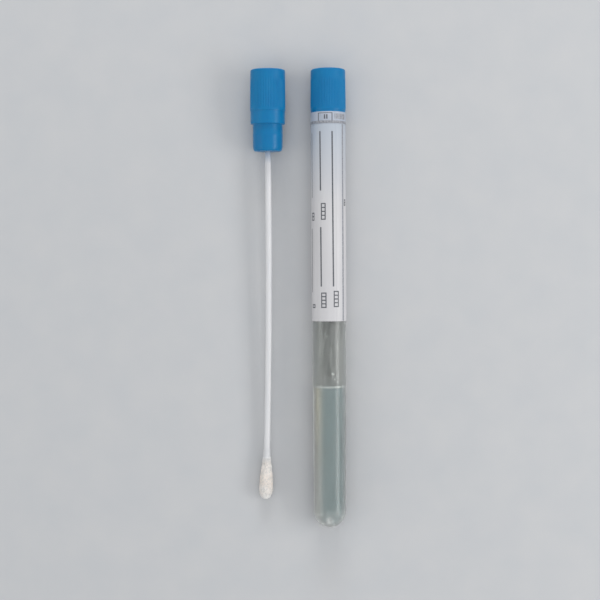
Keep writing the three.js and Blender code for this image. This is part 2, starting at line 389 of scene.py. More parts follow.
def turned(profile, sides, swell=None, shift=None):
    """Points and faces of a solid of turning, from an outline that goes up the outside.

    A point of the outline at (radius, height) becomes a ring at that height. swell(turn, height) is
    added to its radius, and shift(height) to its sideways place. A ring of no radius is one pole.
    """
    turn = np.arange(sides) * (2 * np.pi / sides)
    radius, height = profile[:, :1], profile[:, 1:]
    on_axis = radius[:, 0] < 1e-9
    wide = radius if swell is None else radius + swell(turn[None, :], height)
    points = on_round(turn[None, :], height, np.where(on_axis[:, None], 0, wide))
    if shift is not None:
        points[..., 0] += shift(height)
    index = np.arange(points[..., 0].size).reshape(points.shape[:2])
    index[on_axis] = index[on_axis, :1]
    return points, woven(index, wrap=True)


def film(outer, inner, wrap=False):
    """Points and faces of a thin closed sheet between two grids of one shape, with its rims joined."""
    out = np.arange(outer[..., 0].size).reshape(outer.shape[:2])
    inn = out + out.size
    faces = [woven(out, wrap), woven(inn, wrap)[:, ::-1]]
    faces += [woven(np.stack([inn[0], out[0]]), wrap), woven(np.stack([out[-1], inn[-1]]), wrap)]
    if not wrap:
        faces += [woven(np.column_stack([inn[:, 0], out[:, 0]]))]
        faces += [woven(np.column_stack([out[:, -1], inn[:, -1]]))]
    return np.stack([outer, inner]), np.vstack(faces)


def together(shapes):
    """Several shapes as one: their points one after another, and their faces counted on."""
    start, points, faces = 0, [], []
    for shape_points, shape_faces in shapes:
        flat = shape_points.reshape(-1, 3)
        points.append(flat)
        faces.append(shape_faces + start)
        start += len(flat)
    return np.vstack(points), np.vstack(faces)


# %% Put a shape into the scene


def new_piece(name, shape, place, finishes, body, nodes=(), sharp_deg=40, parts=None):
    """A mesh object made from a shape, with its place in the mesh, riding on a body of the frame.

    A quad that has two corners on a pole becomes a triangle, and points that no face uses are left
    out. The angle says where shading breaks. parts gives each face the number of its finish.
    """
    points, quads = shape
    left, right = quads[:, 0] == quads[:, 1], quads[:, 2] == quads[:, 3]
    whole = ~(left | right)
    groups = [quads[whole], quads[left][:, 1:], quads[right][:, :3]]
    corners = np.concatenate([g.ravel() for g in groups])
    used, corners = np.unique(corners, return_inverse=True)
    counts = np.repeat([4, 3, 3], [len(g) for g in groups])
    placed = place(points.reshape(-1, 3)[used])
    mesh = bpy.data.meshes.new(name)
    mesh.vertices.add(len(placed))
    mesh.vertices.foreach_set("co", placed.ravel())
    mesh.loops.add(len(corners))
    mesh.loops.foreach_set("vertex_index", corners.ravel().astype(np.int32))
    mesh.polygons.add(len(counts))
    starts = np.concatenate([[0], np.cumsum(counts)[:-1]])
    mesh.polygons.foreach_set("loop_start", starts.astype(np.int32))
    for finish in finishes:
        mesh.materials.append(finish.material)
    if parts is not None:
        order = np.concatenate([parts[whole], parts[left], parts[right]])
        mesh.polygons.foreach_set("material_index", order.astype(np.int32))
    mesh.update(calc_edges=True)
    mesh.validate()
    mesh.shade_smooth()
    mesh.set_sharp_from_angle(angle=math.radians(sharp_deg))
    piece = bpy.data.objects.new(name, mesh)
    bpy.context.scene.collection.objects.link(piece)
    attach(piece, body)
    if nodes:
        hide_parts(*nodes)
    print(f"{name}: {len(placed)} points, {int((counts - 2).sum())} triangles")


# %% [markdown]
# ## The cap moulding
#
# Both halves use one cap, moulded in blue plastic. It is solid, with a plug that fits the tube, a
# sealing ring round the plug, a plain collar, and a grip with 66 fine flutes pressed into it. The
# flutes rise out of the collar and die away below the rounded crown. A blind socket in the plug's end
# holds the swab's shaft. It is all one turned outline. Only the flutes depend on the angle, so they
# are a small change of radius that a cosine gives: 66 waves round the cap.

# %% Cap sizes
MOUTH_RADIUS = 6.31  # tube, outside, at the rim
TUBE_WALL = 0.71
BORE_RADIUS = MOUTH_RADIUS - TUBE_WALL
PLUG_LENGTH = 10.0
PLUG_RADIUS = 5.51
PLUG_FILLET = 0.2  # where the plug meets the shoulder
RING_HEIGHT = 0.06
RING_PLACE = 4.1  # shoulder to the ring's middle
RING_WIDTH = 1.6
NOSE_LENGTH = 1.9  # tapered end of the plug
NOSE_TAPER = 0.5
COLLAR_RADIUS = 6.42
COLLAR_HEIGHT = 5.0
COLLAR_ROUND = 0.4
GRIP_FOOT_RADIUS = 6.56
GRIP_TOP_RADIUS = 6.45
LOWER_KNEE = (GRIP_FOOT_RADIUS - 0.012, 6.8)  # the grip narrows a little faster from here
UPPER_KNEE = (GRIP_TOP_RADIUS + 0.035, 15.0)  # and more slowly from here
CROWN_ROUND = 0.7
DIMPLE_RADIUS = 1.2  # in the middle of the flat top
DIMPLE_DEPTH = 0.06
FLUTES = 66
FLUTE_DEPTH = 0.12
FLUTE_RISE = COLLAR_HEIGHT + 0.1, COLLAR_HEIGHT + 1.7
FLUTE_FADE = 15.2, 17.9
SIDES_PER_FLUTE = 8
SOCKET_RADIUS = 1.05
SOCKET_DEPTH = 8.0
SOCKET_LEAD = 0.35


def cap_outline():
    """From the bottom of the socket, out over the plug's end, and up the outside to the crown."""
    end, lead = -PLUG_LENGTH, SOCKET_LEAD
    nose = PLUG_RADIUS - NOSE_TAPER
    nose_curve = [(nose - 0.3, end), (nose + 0.1, end), (PLUG_RADIUS - 0.12, end + 0.5)]
    ring_foot, ring_top = -RING_PLACE - RING_WIDTH / 2, -RING_PLACE + RING_WIDTH / 2
    ring_height = np.linspace(ring_foot, ring_top, 13)
    bulge = RING_HEIGHT * np.sin(np.pi * (ring_height - ring_foot) / RING_WIDTH) ** 0.8
    collar_end = (COLLAR_RADIUS, COLLAR_HEIGHT - 0.3)
    grip_foot = (GRIP_FOOT_RADIUS, COLLAR_HEIGHT + 0.15)
    step = [(COLLAR_RADIUS, COLLAR_HEIGHT - 0.1), (GRIP_FOOT_RADIUS, COLLAR_HEIGHT - 0.1)]
    grip_top = CAP_HEIGHT - CROWN_ROUND
    dimple = CAP_HEIGHT - DIMPLE_DEPTH
    return outline(
        [(0, SOCKET_DEPTH)],
        line((SOCKET_RADIUS, SOCKET_DEPTH), (SOCKET_RADIUS, end + lead), 2),
        arc(SOCKET_RADIUS + lead, end + lead, lead, 180, 270, 4),
        line((SOCKET_RADIUS + lead, end), nose_curve[0], 2),
        curve([*nose_curve, (PLUG_RADIUS, end + NOSE_LENGTH)], 8),
        np.column_stack([PLUG_RADIUS + bulge, ring_height]),
        line((PLUG_RADIUS, -PLUG_FILLET - 0.05), (PLUG_RADIUS, -PLUG_FILLET)),
        arc(PLUG_RADIUS + PLUG_FILLET, -PLUG_FILLET, PLUG_FILLET, 180, 90, 3),
        line((PLUG_RADIUS + PLUG_FILLET, 0), (COLLAR_RADIUS - COLLAR_ROUND, 0)),
        arc(COLLAR_RADIUS - COLLAR_ROUND, COLLAR_ROUND, COLLAR_ROUND, -90, 0, 6),
        line((COLLAR_RADIUS, COLLAR_ROUND + 0.2), collar_end, 2),
        curve([collar_end, *step, grip_foot], 6),
        line(grip_foot, LOWER_KNEE, 8),
        line(LOWER_KNEE, UPPER_KNEE, 6),
        line(UPPER_KNEE, (GRIP_TOP_RADIUS, grip_top), 14),
        arc(GRIP_TOP_RADIUS - CROWN_ROUND, grip_top, CROWN_ROUND, 0, 90, 8),
        line((GRIP_TOP_RADIUS - CROWN_ROUND, CAP_HEIGHT), (DIMPLE_RADIUS + 0.1, CAP_HEIGHT)),
        [(DIMPLE_RADIUS, dimple), (0, dimple)],
    )


def flutes(turn, height):
    """A groove's depth is half of one minus the cosine of 66 turns, eased in and out along the grip."""
    groove = 0.5 - 0.5 * np.cos(FLUTES * turn)
    shown = ease(height, *FLUTE_RISE) * (1 - ease(height, *FLUTE_FADE))
    return -FLUTE_DEPTH * groove * shown


cap_shape = turned(cap_outline(), FLUTES * SIDES_PER_FLUTE, swell=flutes)

# %% [markdown]
# Moulded plastic isn't one flat blue. The colour drifts a little with the flow of the melt, the
# surface has the satin of the mould, and fine scratches run round where fingers turn it. The collar
# and the plug come off the mould smoother than the grip, so they show a clearer highlight. Where that
# change falls depends on the half's own axis, so each cap has its own copy of the finish.

# %% Blue plastic, and both caps


def blue_plastic(name, place):
    """The caps' finish for one half: rough on the grip, smoother on the collar and the plug."""
    blue = Finish(
        name,
        Roughness=0.42,
        IOR=1.49,
        Specular_IOR_Level=0.27,
        Sheen_Weight=0.03,
        Sheen_Roughness=0.3,
        Subsurface_Weight=0.12,
        Subsurface_Radius=(0.3, 0.7, 1.0),
        Subsurface_Scale=0.0012,
    )
    blue.tones(blue.field(5, stretch=2.5, detail=3).ramp(0, 1), "016fa6", "0577ac")
    satin = blue.field(0.25, detail=3)
    handled = blue.field(2.2, stretch=0.35, detail=4, start=(3, 1, 7))
    matt = (satin + handled).ramp(0.4, 0.48, 0.7, 1.3)
    smooth = blue.distance(place, ALONG).ramp(0.11, 0, COLLAR_HEIGHT - 0.6, COLLAR_HEIGHT + 1.4)
    blue.feed("Roughness", matt - smooth)
    blue.relief(satin + handled.ramp(0, 0.6), 0.006)
    return blue


def in_tube_cap(points):
    """The tube's cap stands one seat gap above the rim."""
    return in_tube_half(points + np.array([0, SEAT_GAP, 0]))


CAPS = [
    ("cap_of_swab", in_swab_half, "moulded_blue", "set", "swab_cap"),
    ("cap_of_tube", in_tube_cap, "moulded_blue_too", "closure", "tube_cap"),
]
for name, place, finish_name, body, node in CAPS:
    finish = blue_plastic(finish_name, place)
    new_piece(name, cap_shape, place, [finish], body, [node], sharp_deg=35)

# %% [markdown]
# ## The tube
#
# The tube is moulded in clear plastic with a slight haze. Its wall is 0.7 mm thick, its bore follows its
# outside, and its end is a half ball. A see-through piece has to be a true closed shell, outside and
# inside, or light bends wrongly in it. The outside has a satin gloss, a little duller beside the gel,
# and turns milky along its edges and in the round end, where the light runs a long way through the
# wall. That milkiness is partly painted light: it is set more on the lit left side, and in the round end
# it gathers into a painted glint. Above the gel it also shows faint long trails of damp. The bore is
# fogged, so it has a second finish, which scatters what passes. Where the gel wets it, it hardly
# mirrors at all: that is a third.

# %% Tube sizes and outline
TUBE_LENGTH = 150.0
TUBE_SIDES = 160
UPPER_DRAFT = 0.0013  # loss of outside radius for each millimetre down from the rim
LOWER_DRAFT = 0.0042  # the same below the waist
WAIST = -85.0
RIM_BREAK = 0.12
RIM_ROWS = 4  # rows of faces from the top of the rim that keep the outside's finish
SEAT_END = -11.0  # the parallel seat of the plug ends here
GEL_LEVEL = 52.3  # tube's round end to the middle of the gel's top
MENISCUS_RISE = 0.8
GEL_TOP = GEL_LEVEL + MENISCUS_RISE - TUBE_LENGTH  # the gel wets the bore up to here


def tube_outside(height):
    """Outside radius: the mouth's, less the draft above the waist and the greater draft below it."""
    below = np.minimum(0, np.asarray(height, float) - WAIST)
    return MOUTH_RADIUS + UPPER_DRAFT * (height - below) + LOWER_DRAFT * below


def tube_inside(height):
    """Radius of the bore below the plug's seat: the outside's, less the wall."""
    return tube_outside(height) - TUBE_WALL


END_RADIUS = float(tube_outside(MOUTH_RADIUS - TUBE_LENGTH))
END_CENTRE = END_RADIUS - TUBE_LENGTH


def tube_outline():
    """Up the outside from the round end's pole, over the rim, and down the bore to the inner pole."""
    bore_top = SEAT_END - 1
    heights = np.sort(np.append(np.linspace(END_CENTRE, WAIST, 12), GEL_TOP))[:, None]
    return outline(
        arc(0, END_CENTRE, END_RADIUS, -90, 0, 24),
        np.hstack([tube_outside(heights), heights]),
        line((tube_outside(WAIST), WAIST), (MOUTH_RADIUS, -RIM_BREAK), 12),
        arc(MOUTH_RADIUS - RIM_BREAK, -RIM_BREAK, RIM_BREAK, 0, 90, 3),
        arc(BORE_RADIUS + RIM_BREAK, -RIM_BREAK, RIM_BREAK, 90, 180, 3),
        line((BORE_RADIUS, -RIM_BREAK), (BORE_RADIUS, SEAT_END), 2),
        line((tube_inside(bore_top), bore_top), (tube_inside(WAIST), WAIST), 12),
        np.hstack([tube_inside(heights), heights])[::-1],
        arc(0, END_CENTRE, END_RADIUS - TUBE_WALL, 0, -90, 24),
    )


tube_profile = tube_outline()
tube_shape = turned(tube_profile, TUBE_SIDES)
face_row = np.repeat(np.arange(len(tube_profile) - 1), TUBE_SIDES)
on_bore = face_row > np.argmax(tube_profile[:, 1]) + RIM_ROWS
in_wet = on_bore & (tube_profile[face_row, 1] <= GEL_TOP)
tube_parts = on_bore.astype(int) + in_wet

# %% Masks for painted light: the glint in the round end and the lit edges
# Painted highlight: a speckled white glint is painted in the round end, round this spot.
END_SPOT = (-0.2, -147.0)  # where the round end gathers the light
# Painted light: the masks put more light on the left edges than on the right ones.
LIT_SIDE = 0.6  # the far edges of the ball and of the left wall catch more light than the right ones


def apart(sideways, along):
    """Length of a step across and along, in plan: the root of the sum of the squares."""
    return (abs(sideways) ** 2 + abs(along) ** 2) ** 0.5


def painted_end_glint(finish):
    """A mask for the painted glint: 1 round the spot in the round end, broken into specks, and 0 elsewhere.
    """
    sideways = finish.distance(in_tube_half, LEVEL) - END_SPOT[0]
    along = finish.distance(in_tube_half, ALONG) - END_SPOT[1]
    specks = finish.field(0.7, detail=3, start=(2, 6, 1)).ramp(0.15, 1, 0.38, 0.56)
    return apart(sideways, along).ramp(1, 0, 0.5, 2.1) * specks


def painted_edge_light(finish, start, end):
    """A mask for painted light on the edges, used in the gel's colour and the wall's milkiness: 0 to 1 as
    the distance in plan from a line beside the axis goes from start to end. The line stops short of the
    ball's middle, so below it the distance is that from the line's end."""
    sideways = finish.distance(in_tube_half, LEVEL) - LIT_SIDE
    past = finish.distance(in_tube_half, ALONG) - (END_CENTRE + LIT_SIDE)
    return apart(sideways, past.lesser(0)).ramp(0, 1, start, end)


# %% Clear plastic
CLEARNESS = 0.97
clear = Finish(
    "clear_plastic",
    Roughness=0.3,
    IOR=1.5,
    Transmission_Weight=CLEARNESS,
    Specular_IOR_Level=0.6,
    Sheen_Weight=0.35,
    Sheen_Roughness=0.3,
)
clear.tones(clear.field(6, stretch=3).ramp(0, 1, 0.2, 0.8), "e5e8e6", "f1f2f0")
down_tube = clear.distance(in_tube_half, ALONG)
in_gel = down_tube.ramp(1, 0, -98.5, -97.0)
in_ball = down_tube.ramp(1, 0, END_CENTRE - 0.5, END_CENTRE + 2)
haze = clear.field(5, detail=1, start=(5, 2, 1)).ramp(0.28, 0.3, 0.2, 0.8)
clear.feed("Roughness", haze + in_gel * 0.05)
# Milky edges, partly real haze and partly painted light: set off towards the lit left side, with the
# painted glint of the round end added.
side_milk = painted_edge_light(clear, 5.8, 6.55) * in_gel * 0.4
ball_milk = painted_edge_light(clear, 5.2, 6.3).ramp(0.14, 0.36, 0, 1) * in_ball
trails = clear.field(1.1, stretch=6, detail=3, start=(2, 9, 4)).ramp(0, 0.12, 0.46, 0.68)
milk = side_milk.greater(ball_milk).greater(painted_end_glint(clear) * 0.6).greater((1 - in_gel) * trails)
clear.feed("Transmission Weight", milk.ramp(CLEARNESS, 0.27, 0, 0.7))
clear.relief(clear.field(9, stretch=4, detail=0), 0.008)

# %% The bore's two finishes, and the tube
fogged = Finish("fogged_bore", Roughness=0.34, IOR=1.5, Transmission_Weight=0.93, Specular_IOR_Level=0.5)
streaks = fogged.field(1.5, stretch=7, start=(2, 9, 4))
fogged.tones(streaks.ramp(0, 1, 0.34, 0.64), "c9cdc9", "f6f8f5")
fogged.feed("Roughness", streaks.ramp(0.3, 0.42, 0.2, 0.8))
fogged.relief(fogged.field(5, stretch=3, detail=0, start=(1, 1, 6)), 0.01)

wetted = Finish("wetted_bore", Roughness=0.3, IOR=1.5, Transmission_Weight=0.95, Specular_IOR_Level=0.05)
patches = wetted.field(4, stretch=3, start=(3, 3, 7))
wetted.tones(patches, "e9ecea", "f5f7f5")
wetted.feed("Roughness", patches.ramp(0.28, 0.32, 0.2, 0.8))

finishes = [clear, fogged, wetted]
new_piece("tube_wall", tube_shape, in_tube_half, finishes, "set", ["tube"], parts=tube_parts)

# %% [markdown]
# ## The gel
#
# The medium is a soft, milky gel. It fills the round end and stands in the tube with a flat top that
# climbs the wall at its edge. That little climb shows as one bright curved line from the side; its rows
# are painted near white, a painted highlight of that line.
# The tube lies down, so along its upper side the edge has slid a little towards the round end.
# Its colour holds painted light and shade: it is painted palest and warmest along its left side and its
# edges, where light falls, and a deeper blue green right of its middle, as painted shade.

# %% Gel shape
MENISCUS_POWER = 6
GEL_GAP = 0.02
GEL_SIDES = 128
SLIDE = 0.35  # how far the edge has slid along the upper side
SLIDE_REACH = 6.0
gel_middle = GEL_LEVEL - TUBE_LENGTH


def gel_outside(height):
    """Outside radius: the bore's, less a hair's gap."""
    return tube_inside(height) - GEL_GAP


gel_edge = float(gel_outside(gel_middle + MENISCUS_RISE))
gel_radii = gel_edge * np.sqrt(np.linspace(1, 0, 24))
climb = MENISCUS_RISE * (gel_radii / gel_edge) ** MENISCUS_POWER
near_top = gel_middle + np.array([-0.4, 0.1, 0.45, MENISCUS_RISE - 0.1])
gel_heights = np.append(np.linspace(END_CENTRE, gel_middle - 1, 12), near_top)[:, None]
gel_profile = outline(
    arc(0, END_CENTRE, END_RADIUS - TUBE_WALL - GEL_GAP, -90, 0, 24),
    np.hstack([gel_outside(gel_heights), gel_heights]),
    np.column_stack([gel_radii, gel_middle + climb]),
)
gel_shape = turned(gel_profile, GEL_SIDES)
lean = 0.5 + 0.5 * np.cos(round_angles(GEL_SIDES))
gel_shape[0][..., 1] -= SLIDE * ease(gel_profile[:, 1:], gel_middle - SLIDE_REACH, gel_middle) * lean
gel_rows = np.repeat(np.arange(len(gel_profile) - 1), GEL_SIDES)
edge_row = len(gel_profile) - len(gel_radii)
# The rows of the wet rim get the painted highlight.
gel_parts = ((gel_rows >= edge_row - 3) & (gel_rows < edge_row + 4)).astype(int)  # 1 on the wet rim

# %% Gel finish
milky = Finish(
    "milky_gel",
    Roughness=0.2,
    IOR=1.34,
    Specular_IOR_Level=0.2,
    Subsurface_Weight=0.5,
    Subsurface_Radius=(1.0, 1.0, 1.0),
    Subsurface_Scale=0.0012,
)
# Painted light and shade in the gel's colour: the deeper teal right of the middle is painted shade, and the
# pale warm tones on the left side and the edges, warmer towards the gel's top, are painted light. The round
# end gets the painted glint.
swirl = milky.field(5, stretch=2, start=(4, 4, 4)).ramp(0, 1, 0.2, 0.8)
pale_teal = milky.blend(swirl, "a7babe", "b0c2c4")
painted_shade_teal = milky.blend(swirl, "92a8ac", "9baeb2")
sideways = milky.distance(in_tube_half, LEVEL)
teal = milky.blend(sideways.ramp(0, 1, -0.6, 2.4), pale_teal, painted_shade_teal)
by_height = milky.distance(in_tube_half, ALONG).ramp(0, 1, -130, -105)
painted_left_light = milky.blend(by_height, "ebebe9", "f4eede")
body_tone = milky.blend(sideways.ramp(1, 0, -4.3, -2.0), teal, painted_left_light)
painted_edge_tone = milky.blend(by_height, "f1f1ee", "fbf1d8")
rim_tone = milky.blend(painted_edge_light(milky, 4.6, 5.7), body_tone, painted_edge_tone)
milky.tones(painted_end_glint(milky), rim_tone, "fbfdfd")
milky.feed("Roughness", milky.field(1.5, detail=1).ramp(0.3, 0.4, 0.2, 0.8))

# Painted highlight: the wet rim is painted near white, for the bright line along the gel's edge.
painted_rim_highlight = Finish("painted_rim_highlight", Roughness=0.12, IOR=1.34)
painted_rim_highlight.tones(painted_rim_highlight.field(1.5).ramp(0, 1, 0.2, 0.8), "f2f5f5", "fcfdfd")
painted_rim_highlight.feed("Roughness", painted_rim_highlight.field(0.9, start=(5, 5, 1)).ramp(0.1, 0.18))

new_piece(
    "gel_body", gel_shape, in_tube_half, [milky, painted_rim_highlight], "set", ["gel_medium"], parts=gel_parts
)

# %% [markdown]
# ## Damp on the bore
#
# Above the gel the bore holds a few specks of damp. Each is a low dome stood on the wall. Three are
# listed one by one, and the rest are scattered from a fixed seed. One array holds them all.

# %% Drops
DOME_STEPS = np.radians([0, 30, 60, 90])
DROP_SIDES = 10
DROP_FLATNESS = 0.35
DROP_GAP = 0.012
SCATTERED = 45
PLACED = {"turn": [-9.0, 12.7, -36.0], "height": [-78.9, -92.7, -88.5], "size": [0.42, 0.52, 0.4]}


def drops(turn_deg, height, size):
    """Low domes on the bore. A point at angle a down the dome and angle t round it lies size sin(a)
    from the drop's middle, along (cos t, sin t), and flatness times size cos(a) in from the wall."""
    away = np.append(np.sin(DOME_STEPS), 0)[None, :, None] * size[:, None, None]
    lift = DROP_FLATNESS * np.append(np.cos(DOME_STEPS), 0)[None, :, None] * size[:, None, None]
    round_it = round_angles(DROP_SIDES)
    up = height[:, None, None] + away * np.sin(round_it)
    wall = tube_inside(up) - DROP_GAP
    turn = np.radians(turn_deg)[:, None, None] + away * np.cos(round_it) / wall
    points = on_round(turn, up, wall - lift)
    index = np.arange(points[..., 0].size).reshape(points.shape[:3])
    index[:, [0, -1]] = index[:, [0, -1], :1]
    return points, np.vstack([woven(each, wrap=True) for each in index])


dice = np.random.default_rng(21)
drop_turn = np.append(PLACED["turn"], dice.uniform(-180, 180, SCATTERED))
drop_height = np.append(PLACED["height"], dice.uniform(-96.0, -13.0, SCATTERED))
drop_size = np.append(PLACED["size"], dice.uniform(0.08, 0.34, SCATTERED))
damp = Finish("damp", Roughness=0.12, IOR=1.33)
damp.tones(damp.field(1.0, detail=1).ramp(0, 1, 0.2, 0.8), "eef1f1", "fafbfb")
damp.feed("Roughness", damp.field(0.8, detail=1, start=(4, 1, 2)).ramp(0.1, 0.2, 0.2, 0.8))
drop_shape = drops(drop_turn, drop_height, drop_size)
new_piece("bore_damp", drop_shape, in_tube_half, [damp], "set", sharp_deg=60)

# %% [markdown]
# ## The label
#
# The label is a strip of white film, 73 mm along the tube, wound once round it until it laps over its
# own start. Seen from the end it is a spiral of a little more than one turn. Where the second layer
# climbs over the first edge the radius rises by one thickness, and it stays raised to the free edge.

# %% Label sizes and surface
LABEL_TOP = -0.25
LABEL_LENGTH = 73.0
LABEL_FOOT = LABEL_TOP - LABEL_LENGTH
FILM = 0.15  # thickness
FILM_GAP = 0.018
LABEL_SLACK = 0.1  # extra gap at the foot, where the tube tapers away
LAP_START, LAP_END = 27.0, 52.0
LAP_CLIMB = 5  # degrees over which the second layer climbs
WAVE = 0.006


def label_inside(turn_deg, height):
    """Inner radius of the wrap: a straight cone, one film thickness wider on the last stretch, and a
    trace of slackness that grows towards the foot, made of three slow waves round the tube."""
    down = (LABEL_TOP - height) / LABEL_LENGTH
    top, foot = tube_outside(LABEL_TOP), tube_outside(LABEL_FOOT)
    cone = top + FILM_GAP + (foot + LABEL_SLACK - top) * down
    lap = (FILM + 0.005) * ease(turn_deg, LAP_START + 360 - LAP_CLIMB, LAP_START + 360)
    turn = np.radians(turn_deg)
    waves = np.sin(3 * turn + 0.05 * height) + np.sin(7 * turn + 1.7) + np.sin(11 * turn - 0.03 * height)
    return cone + lap + WAVE * (0.3 + down) * waves


label_turn = np.linspace(LAP_START, LAP_END + 360, 340)[None, :]
label_height = np.linspace(LABEL_FOOT, LABEL_TOP, 60)[:, None]
label_in = label_inside(label_turn, label_height)
label_out = label_in + FILM - rounded(label_height, LABEL_FOOT, LABEL_TOP, 0.03, 0.2)
label_angle = np.radians(label_turn)
label_shape = film(
    on_round(label_angle, label_height, label_out), on_round(label_angle, label_height, label_in)
)

# %% White film
white_film = Finish("white_film", Roughness=0.4, IOR=1.46)
pale_streak = white_film.field(4, stretch=8, detail=3).ramp(0, 1)
# Painted shade: over its top 30 mm, towards the cap, the film is painted a darker blue grey.
painted_shade_to_top = white_film.distance(in_tube_half, ALONG).ramp(0, 1, -30, 0)
white_film.tones(painted_shade_to_top, white_film.blend(pale_streak, "c4c3c6", "cecdcf"), "afb7c2")
handled = white_film.field(1.6, stretch=3, detail=4, start=(2, 2, 8))
white_film.feed("Roughness", handled.ramp(0.33, 0.5))
white_film.relief(white_film.field(2.5, stretch=10, detail=3, start=(1, 5, 5)), 0.03)
new_piece("label_film", label_shape, in_tube_half, [white_film], "set", ["name_label"], 50)

# %% [markdown]
# ## Print on the label
#
# Such a label is ruled for handwriting. Here it has five ruled lines, and at the start of each field a
# comb of small open boxes to write in. Each mark is a patch of the label's own round, a hundredth of a
# millimetre proud, as a layer of ink is. Where the label laps, a grey stripe on either side of its free
# edge is painted shadow, made the same way in a pale ink.

# %% Marks of ink
INK = 0.012
LABEL_MIDDLE_RADIUS = 6.45
COMB_WEIGHT = 0.42


def mark(turn_deg, height, columns=6, rows=2):
    """A patch of ink between two angles and two heights of the label. Each may be a pair, or two pairs
    where the mark leans: its edge then moves from the first to the second along its height."""
    up = np.linspace(0, 1, rows + 1)[:, None]
    over = np.linspace(0, 1, columns + 1)[None, :]
    low, high = np.array(turn_deg, float).reshape(-1, 2)[[0, -1]]
    at_foot = low[0] + (low[1] - low[0]) * over
    at_top = high[0] + (high[1] - high[0]) * over
    turns = at_foot * (1 - up) + at_top * up
    heights = height[0] + (height[1] - height[0]) * up + 0 * over
    outside = label_inside(turns + 360 * (turns < LAP_END), heights) + FILM
    angle = np.radians(turns)
    return film(on_round(angle, heights, outside + INK), on_round(angle, heights, outside - INK))


def rule(middle_deg, height, weight, lean_deg):
    """A ruled line along the tube, its weight given in millimetres. It leans by some degrees."""
    half = math.degrees(weight / 2 / LABEL_MIDDLE_RADIUS)
    foot, top = middle_deg + lean_deg, middle_deg
    rows = max(2, int((height[1] - height[0]) / 2))
    return mark([(foot - half, foot + half), (top - half, top + half)], height, 2, rows)


def comb(turn_deg, height, boxes):
    """A row of open boxes along the tube: two long rails, and short bars between the boxes."""
    thin = math.degrees(COMB_WEIGHT / LABEL_MIDDLE_RADIUS)
    near, far = turn_deg
    rails = [mark((near, near + thin), height), mark((far - thin, far), height)]
    feet = np.linspace(height[0], height[1] - COMB_WEIGHT, boxes + 1)
    bars = [mark((near + thin, far - thin), (foot, foot + COMB_WEIGHT)) for foot in feet]
    return rails + bars


RULES = [  # angle at the top, heights of foot and top, weight, and lean
    (11.6, (-60.4, -3.1), 0.54, 2.4),
    (-29.2, (-25.0, -3.1), 0.54, 1.0),
    (-27.8, (-60.4, -38.5), 0.54, 1.0),
    (-69.5, (-27.5, -3.6), 0.4, 0.0),
    (-70.5, (-62.5, -38.9), 0.4, 0.0),
]
COMBS = [  # angles of the two rails, heights of foot and top, and number of boxes
    ((-27.0, -10.5), (-35.8, -29.6), 4),
    ((-27.5, -9.0), (-68.3, -62.6), 4),
    ((14.5, 32.0), (-68.0, -62.0), 4),
    ((-70.0, -55.0), (-36.0, -33.0), 2),
    ((-68.0, -52.0), (-68.3, -66.9), 1),
    ((60.0, 72.0), (-30.5, -28.1), 2),
]
marks = [rule(*each) for each in RULES]
for each in COMBS:
    marks += comb(*each)

ink = Finish("grey_ink", Roughness=0.5)
ink.tones(ink.field(0.35, detail=3).ramp(0, 1, 0.35, 0.6), "4a4d53", "62656b")
ink.feed("Roughness", ink.field(0.8, detail=3).ramp(0.42, 0.6))
new_piece("label_print", together(marks), in_tube_half, [ink], "set")

# This pale ink prints marks on the band and also paints the shadow stripes at the lap.
pale_ink_and_painted_shadow = Finish("pale_ink_and_painted_shadow", Roughness=0.5)
dotted = pale_ink_and_painted_shadow.field(0.5, detail=3, start=(3, 2, 2)).ramp(0, 1, 0.35, 0.65)
pale_ink_and_painted_shadow.tones(dotted, "7d7f87", "a0a2a8")
pale_ink_and_painted_shadow.feed("Roughness", pale_ink_and_painted_shadow.field(0.8).ramp(0.42, 0.6))
full_length = (LABEL_FOOT + 0.2, LABEL_TOP - 0.2)
# Painted shadow: a grey stripe on either side of the lap's free edge stands in for the edge's shade.
shadow_stripes = [(LAP_END - 4.2, LAP_END - 0.2), (LAP_END + 0.3, LAP_END + 4.6)]
painted_lap_shadow = together([mark(stripe, full_length, 3, 40) for stripe in shadow_stripes])
new_piece("painted_lap_shadow", painted_lap_shadow, in_tube_half, [pale_ink_and_painted_shadow], "set")

# %% [markdown]
# ## The seal band
#
# A short band of the same film is stretched over the cap's collar. It reaches down to the label, and
# parts from it along a tear line, with a grey ring along the band's foot beside it. It is pulled off
# with the cap, so it rides on the closure. Its other marks are plain print: a box with two bars in it,
# and a few more bars beside it.

# %% Seal band
BAND_FILM = 0.08
BAND_FOOT = -0.3  # a hair's breadth above the label
BAND_TOP = BAND_FOOT + 4.4
BAND_IN = COLLAR_RADIUS + FILM_GAP

band_turn = np.radians(np.arange(0, 360, 1.5))[None, :]
band_height = np.linspace(BAND_FOOT, BAND_TOP, 14)[:, None]
pucker = 0.008 * (np.sin(5 * band_turn + 1) + np.sin(13 * band_turn + 0.8 * band_height))
band_out = BAND_IN + BAND_FILM - rounded(band_height, BAND_FOOT, BAND_TOP, 0.02, 0.12) + pucker * 0.5
band_shape = film(
    on_round(band_turn, band_height, band_out), on_round(band_turn, band_height, BAND_IN), wrap=True
)
thin_film = Finish("thin_film", Roughness=0.4, IOR=1.46)
stretched = thin_film.field(1.5, stretch=2, detail=3, start=(6, 2, 1)).ramp(0, 1)
thin_film.tones(stretched, "a4adbb", "b1b7c4")
thin_film.feed("Roughness", thin_film.field(1.2, detail=3).ramp(0.34, 0.5))
thin_film.relief(thin_film.field(1.8, stretch=3, detail=3, start=(1, 7, 5)), 0.03)
new_piece("band_film", band_shape, in_tube_cap, [thin_film], "closure", ["seal_band"], 50)

# %% Print on the band


